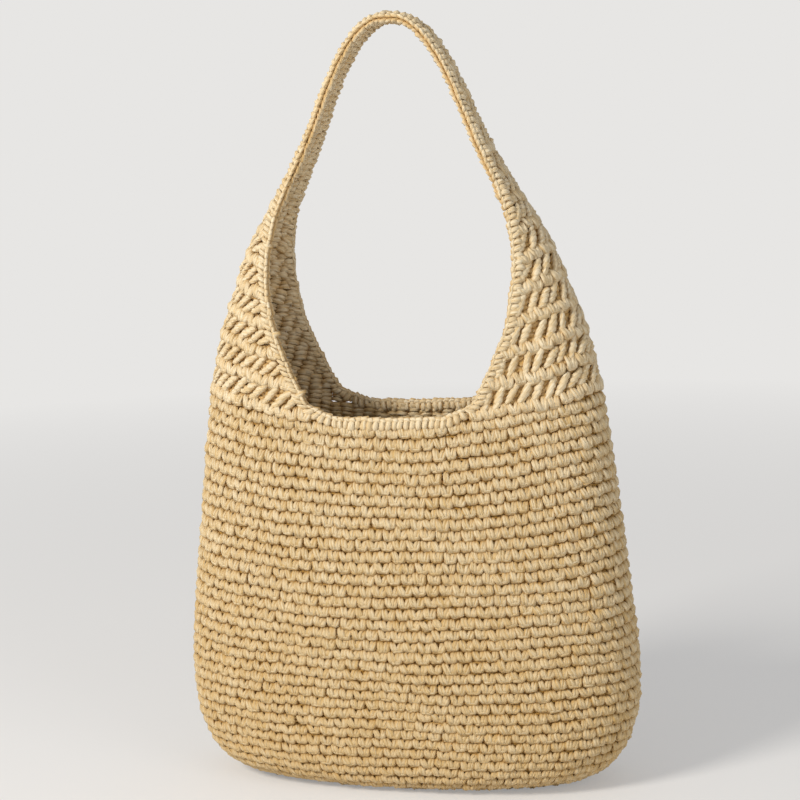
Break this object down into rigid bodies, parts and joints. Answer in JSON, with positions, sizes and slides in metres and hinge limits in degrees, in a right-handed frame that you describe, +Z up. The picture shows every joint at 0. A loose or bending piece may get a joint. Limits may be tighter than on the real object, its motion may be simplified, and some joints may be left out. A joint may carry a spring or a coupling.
{
  "type": "hobo bag",
  "caption": "Open-topped crocheted raffia hobo bag: oval base, tall soft wall, shoulder wings that narrow into one tall strap.",
  "frame": {"origin": "Under the middle of the base, on the surface that the bag stands on.", "axes": "+Z up along the strap's height, +X along the mouth from wing to wing, +Y from the front of the bag to its back."},
  "size_m": [0.3996, 0.1496, 0.661],
  "materials": {
    "raffia_base": "natural raffia, single crochet, a little darker from standing on the ground",
    "raffia_wall": "natural raffia, single crochet in rounds, slight sheen",
    "raffia_wing": "natural raffia, ridged single crochet worked back and forth",
    "raffia_strap": "natural raffia, cross rows of single crochet",
    "raffia_edging": "natural raffia, chain edging"
  },
  "bodies": {
    "bag": {"base_start_chain": "raffia_base", "base_centre_rounds": "raffia_base", "base_outer_rounds": "raffia_base", "base_turn_rounds": "raffia_base", "wall_lower_rounds": "raffia_wall", "wall_middle_rounds": "raffia_wall", "wall_upper_rounds": "raffia_wall", "mouth_round": "raffia_wall", "wing_left": "raffia_wing", "wing_right": "raffia_wing", "mouth_edging_front": "raffia_edging", "mouth_edging_back": "raffia_edging"},
    "strap": {"strap_left": "raffia_strap", "strap_right": "raffia_strap", "strap_join_seam": "raffia_edging", "strap_edging_front": "raffia_edging", "strap_edging_back": "raffia_edging"}
  },
  "joints": [
    {"name": "strap_flop", "type": "hinge", "parent": "bag", "child": "strap", "pos_m": [0, 0, 0.5], "axis": [1, 0, 0], "range_deg": [-60, 60]}
  ]
}
